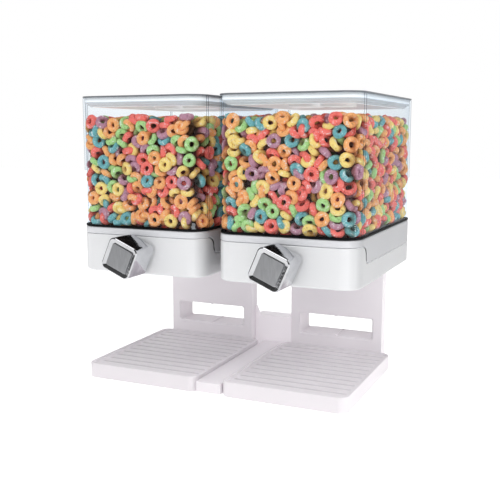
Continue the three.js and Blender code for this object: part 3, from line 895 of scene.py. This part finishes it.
def beyond_wall(points, half, corner):
    """How far each point is outside a rounded rectangle, and the way out."""
    q = np.abs(points[:, :2]) - (half - corner)
    m = np.maximum(q, 0)
    length = np.linalg.norm(m, axis=1)
    outside = length + np.minimum(q.max(1), 0) - corner
    flat = (q == q.max(1, keepdims=True)).astype(float)
    way = np.where(length[:, None] > 1e-9, m / (length[:, None] + 1e-12), flat)
    return outside, way * np.sign(points[:, :2] + 1e-12)


def settled_rings(rng, half, corner, low, high):
    """Places and turns of rings that are pushed apart until they lie against each other and the walls."""
    starts = [
        np.arange(-half[0] + 7, half[0] - 6, CEREAL_SPACING),
        np.arange(-half[1] + 7, half[1] - 6, CEREAL_SPACING),
        np.arange(low - 4, high - 4, CEREAL_SPACING),
    ]
    centre = np.stack(np.meshgrid(*starts, indexing="ij"), -1).reshape(-1, 3)
    centre += rng.uniform(-0.35, 0.35, centre.shape) * CEREAL_SPACING
    outside, _ = beyond_wall(centre, half, corner)
    shell = (outside > 2 - CEREAL_SHELL) | (centre[:, 2] > high - CEREAL_SHELL + 2)
    centre = centre[(outside < -4) & shell]
    outside, way = beyond_wall(centre, half, corner)
    axis = np.column_stack([way, np.zeros(len(centre))]) * (outside > -12)[:, None]
    axis += rng.normal(0, 1.0, centre.shape)
    axis[:, 2] += centre[:, 2] > high - 10
    axis /= np.linalg.norm(axis, axis=1)[:, None]
    across = np.cross(axis, rng.normal(0, 1, axis.shape))
    across /= np.linalg.norm(across, axis=1)[:, None]
    turn = np.stack([across, np.cross(axis, across), axis], 2)
    for _ in range(CEREAL_ROUNDS):
        centre, turn = pushed_apart(centre, turn, half, corner, low, high)
    return centre, turn


def pushed_apart(centre, turn, half, corner, low, high):
    """One round in which every ring is a loop of balls that push each other and are pushed by the walls."""
    t = np.arange(RING_BALLS) * FULL_TURN / RING_BALLS
    loop = RING * np.stack([np.cos(t), np.sin(t), 0 * t], 1)
    arm = np.einsum("nij,kj->nki", turn, loop)
    points = (centre[:, None] + arm).reshape(-1, 3)
    owner = np.repeat(np.arange(len(centre)), RING_BALLS)
    a, b = close_pairs(points, owner, 2 * DOUGH)
    gap = points[a] - points[b]
    distance = np.linalg.norm(gap, axis=1) + 1e-9
    push = gap * ((2 * DOUGH - distance) / distance / 2)[:, None]
    move = np.zeros_like(points)
    for k in range(3):
        move[:, k] = np.bincount(a, push[:, k], len(points)) - np.bincount(b, push[:, k], len(points))
    outside, way = beyond_wall(points, half, corner)
    move[:, :2] -= way * np.maximum(outside + DOUGH, 0)[:, None] * WALL_PUSH
    ground = low + HOPPER_SLOPE * np.minimum(outside + LEDGE, 0)
    move[:, 2] += np.maximum(ground + DOUGH - points[:, 2], 0) * WALL_PUSH
    heap = high - HEAP * (1 + np.sin(points[:, 0] / 9 + 2) * np.sin(points[:, 1] / 11 + 1))
    move[:, 2] -= np.maximum(points[:, 2] + DOUGH - heap, 0) * SOFT_PUSH
    side_deep = -CEREAL_SHELL - outside
    top_deep = high - CEREAL_SHELL - points[:, 2]
    core = (side_deep > 0) & (top_deep > 0)
    by_side = core & (side_deep < top_deep)
    move[:, :2] += way * (side_deep * by_side * SOFT_PUSH)[:, None]
    move[:, 2] += top_deep * (core & ~by_side) * SOFT_PUSH
    force = move.reshape(len(centre), RING_BALLS, 3)
    centre = centre + force.sum(1) * SETTLING / RING_BALLS
    _, way = beyond_wall(centre, half, corner)
    centre[:, :2] += way * DRIFT
    spin = np.cross(arm, force).sum(1) * SETTLING / (RING_BALLS * RING * RING)
    return centre, turns_about(spin) @ turn


def ring_mesh(rng, centre, turn):
    """One mesh of slightly uneven rings."""
    count = len(centre)
    t = np.arange(RING_STEPS) * FULL_TURN / RING_STEPS
    s = np.arange(DOUGH_STEPS) * FULL_TURN / DOUGH_STEPS
    phase = rng.uniform(0, 6.28, (count, 3, 1))
    large = RING * rng.uniform(0.94, 1.05, (count, 1)) * (1 + 0.05 * np.sin(2 * t + phase[:, 0]))
    thick = DOUGH * rng.uniform(0.92, 1.08, (count, 1)) * (1 + 0.07 * np.sin(3 * t + phase[:, 1]))
    thick = thick * (1 + 0.04 * np.sin(5 * t + phase[:, 2]))
    reach = large[:, :, None] + 0.96 * thick[:, :, None] * np.cos(s)
    local = np.stack(
        [
            reach * np.cos(t)[:, None],
            reach * np.sin(t)[:, None],
            thick[:, :, None] * np.sin(s) * 1.16,
        ],
        -1,
    ).reshape(count, -1, 3)
    points = np.einsum("nij,nkj->nki", turn, local) + centre[:, None]
    i, j = np.meshgrid(np.arange(RING_STEPS), np.arange(DOUGH_STEPS), indexing="ij")
    steps = ((0, 0), (1, 0), (1, 1), (0, 1))
    corners = [(i + di) % RING_STEPS * DOUGH_STEPS + (j + dj) % DOUGH_STEPS for di, dj in steps]
    quads = np.stack(corners, -1).reshape(-1, 4)
    quads = (np.arange(count)[:, None, None] * RING_STEPS * DOUGH_STEPS + quads).reshape(-1, 4)
    mesh = bpy.data.meshes.new("rings")
    mesh.from_pydata((points.reshape(-1, 3) * MM).tolist(), [], quads.tolist())
    mesh.shade_smooth()
    return mesh


CEREAL_COLOURS = {
    "red": (srgb(255, 124, 114), 0.23),
    "orange": (srgb(255, 180, 114), 0.27),
    "yellow": (srgb(255, 224, 134), 0.16),
    "green": (srgb(176, 222, 144), 0.12),
    "teal": (srgb(116, 182, 188), 0.1),
    "purple": (srgb(192, 140, 160), 0.12),
}
# painted shade: dark dough for the hidden middle of the fill
CORE = cereal_dough("core", srgb(96, 52, 38))
DOUGHS = {name: cereal_dough(name, colour) for name, (colour, _) in CEREAL_COLOURS.items()}


def cereal_painted_shade_core(side, half, low):
    """The middle of the fill as a block of dark dough, painted shade seen only through the gaps between the
    outer rings.
    """
    plan = outline(2 * (half[0] - CORE_DEPTH), 2 * (half[1] - CORE_DEPTH), 8)
    bottom, top = low + 4, CEREAL_TOP - CORE_DEPTH
    shape = sweep(plan, rounded([(7, bottom), (0, bottom), (0, top), (7, top)], [0, 3, 3, 0]))
    obj = linked(f"cereal_painted_shade_core_{side}", mesh_of(shape, unit_place(side)))
    obj.data.materials.append(CORE)
    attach(obj, f"canister_body_{side}")


def cereal(side, seed):
    """The canister's fill, one piece for each colour."""
    rng = np.random.default_rng(seed)
    low, high = extent(f"canister_{side}")
    middle = unit_place(side).translation
    half = np.array([(high.x - low.x) / 2, (high.y - low.y) / 2]) - CAN_WALL
    centre, turn = settled_rings(rng, half, CORNER - CAN_WALL, low.z, CEREAL_TOP)
    shares = [share for _, share in CEREAL_COLOURS.values()]
    kind = rng.choice(len(shares), len(centre), p=np.array(shares) / sum(shares))
    centre = centre + np.array(middle)
    cereal_painted_shade_core(side, half, low.z)
    for i, (name, material) in enumerate(DOUGHS.items()):
        chosen = kind == i
        mesh = ring_mesh(rng, centre[chosen], turn[chosen])
        mesh.materials.append(material)
        obj = linked(f"cereal_{name}_{side}", mesh)
        obj.visible_glossy = False
        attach(obj, f"canister_body_{side}")


# ---- Studio ----

FLOOR_GLOW = 0.3  # what the floor lights the object with
FLOOR_WHITE = 0.9  # what the camera sees of its glow
FLOOR_HALF = 4000
ROOM_LIGHT = (  # direction, strength, and strength as seen in polished surfaces
    ((0, -1, 0), 0.68, 0.04),
    ((-1, 0, 0), 1.0, 0.08),
    ((0, 1, 0), 0.6, 0.6),
)
CAMERA_AZIMUTH = 24.16
CAMERA_ELEVATION = 8.48
CAMERA_DISTANCE = 874.2
CAMERA_AIM = (5.7, 0, 140.2)
CAMERA_LENS = 56.23


def camera():
    data = bpy.data.cameras.new("camera")
    data.lens = CAMERA_LENS
    data.sensor_width = 36
    obj = bpy.data.objects.new("camera", data)
    bpy.context.scene.collection.objects.link(obj)
    azimuth, elevation = math.radians(CAMERA_AZIMUTH), math.radians(CAMERA_ELEVATION)
    level = Vector((math.sin(azimuth), -math.cos(azimuth), 0))
    away = level * math.cos(elevation) + Vector((0, 0, math.sin(elevation)))
    obj.location = (Vector(CAMERA_AIM) + away * CAMERA_DISTANCE) * MM
    obj.rotation_euler = (QUARTER - elevation, 0, azimuth)
    bpy.context.scene.camera = obj


def softbox(name, place_m, aim_m, size, power):
    data = bpy.data.lights.new(name, "AREA")
    data.shape = "RECTANGLE"
    data.size, data.size_y = size
    data.energy = power
    obj = bpy.data.objects.new(name, data)
    bpy.context.scene.collection.objects.link(obj)
    obj.location = place_m
    obj.rotation_euler = (Vector(aim_m) - Vector(place_m)).to_track_quat("-Z", "Y").to_euler()
    return obj


def studio_floor():
    """Pale plain floor, lit from within like a light table and white to the camera."""
    material, tree = new_material("studio_floor")
    base = ramp(tree, wander(tree, 3, 0, 1), (0, grey(0.93)), (1, grey(0.96)))
    seen = add(tree, "ShaderNodeLightPath").outputs["Is Camera Ray"]
    glow = rescaled(tree, seen, 0, 1, FLOOR_GLOW, FLOOR_WHITE)
    principled(tree, Base_Color=base, Roughness=0.9, Emission_Color=base, Emission_Strength=glow)
    material.cycles.emission_sampling = "NONE"
    half = FLOOR_HALF
    shape = ([(-half, -half, 0), (half, -half, 0), (half, half, 0), (-half, half, 0)], [[0, 1, 2, 3]])
    obj = linked("studio_floor", mesh_of(shape))
    obj.data.materials.append(material)


def surroundings():
    """A room whose light swells towards a few directions, seen as plain white by the camera."""
    world = bpy.data.worlds.new("room")
    bpy.context.scene.world = world
    world.use_nodes = True
    tree = world.node_tree
    tree.nodes.clear()
    direction = add(tree, "ShaderNodeTexCoord").outputs["Generated"]
    path = add(tree, "ShaderNodeLightPath")
    level = 0.0
    for towards, diffuse, mirrored in ROOM_LIGHT:
        strength = rescaled(tree, path.outputs["Is Glossy Ray"], 0, 1, diffuse, mirrored)
        facing = add(tree, "ShaderNodeVectorMath", {0: direction, 1: towards}, operation="DOT_PRODUCT")
        swell = calculated(tree, "MAXIMUM", facing.outputs["Value"], 0.0)
        level = calculated(tree, "MULTIPLY_ADD", swell, strength, level)
    room = add(tree, "ShaderNodeBackground", {"Strength": level, "Color": grey(1)}).outputs[0]
    backdrop = add(tree, "ShaderNodeBackground", {"Strength": 1.0, "Color": grey(1)}).outputs[0]
    seen = path.outputs["Is Camera Ray"]
    mix = add(tree, "ShaderNodeMixShader", {0: seen, 1: room, 2: backdrop})
    tree.links.new(mix.outputs[0], add(tree, "ShaderNodeOutputWorld").inputs["Surface"])


def studio():
    studio_floor()
    surroundings()
    softbox("key", (1.1, -0.3, 1.0), (0, 0, 0.1), (0.8, 0.8), 6.5)
    softbox("top", (0.1, -0.5, 1.5), (0, 0, 0.2), (1.0, 1.0), 5)
    low = softbox("low", (1.1, -0.05, 0.04), (0.1, 0, 0.03), (0.6, 0.08), 0.07)
    low.data.spread = math.radians(18)
    camera()
    view = bpy.context.scene.view_settings
    view.view_transform = "Standard"
    view.look = "None"


# ---- Assembly ----


SOFTENED = (  # nodes that keep the CAD's shape: material, slot and width of the soft edges
    ("hopper", WHITE, "white_plastic", 0.3),
    ("drum_casing", WHITE, "white_plastic", 0.3),
    ("paddle_hub", WHITE, "white_plastic", 0.3),
    ("paddle_vanes", SILICONE, "grey_silicone", 0.3),
    ("shaft", STEEL, "steel", 0.4),
    ("shaft_clip", STEEL, "steel", 0.2),
    ("front_bush", BUSH, "grey_plastic", 0.4),
    ("column_cover", STAND, "white_plastic", 0.4),
    ("foot_plate", STAND, "white_plastic", 0.3),
)
SOFTENED_PAIRS = (  # the same for nodes that each unit has two of
    ("base_screw", STEEL, "steel", 0.2),
    ("top_screw", STEEL, "steel", 0.2),
    ("front_foot", RUBBER, "black_rubber", 0.3),
    ("rear_foot", RUBBER, "black_rubber", 0.3),
)


def build():
    for index, side in enumerate(SIDES):
        lid(side)
        lid_gasket(side)
        canister(side)
        canister_seal(side)
        collar(side)
        housing(side)
        knob(side)
        tray(side)
        column(side)
        cereal(side, seed=7 + index)
        for node, *look in SOFTENED:
            refine(f"{node}_{side}", *look)
        for end in ("a", "b"):
            for node, *look in SOFTENED_PAIRS:
                refine(f"{node}_{side}_{end}", *look)
    refine("base_strip", STAND, "white_plastic", 0.6)
    refine("rear_bridge", BRIDGE_PAINTED_GLOW, "white_plastic", 0.6)


build()
studio()
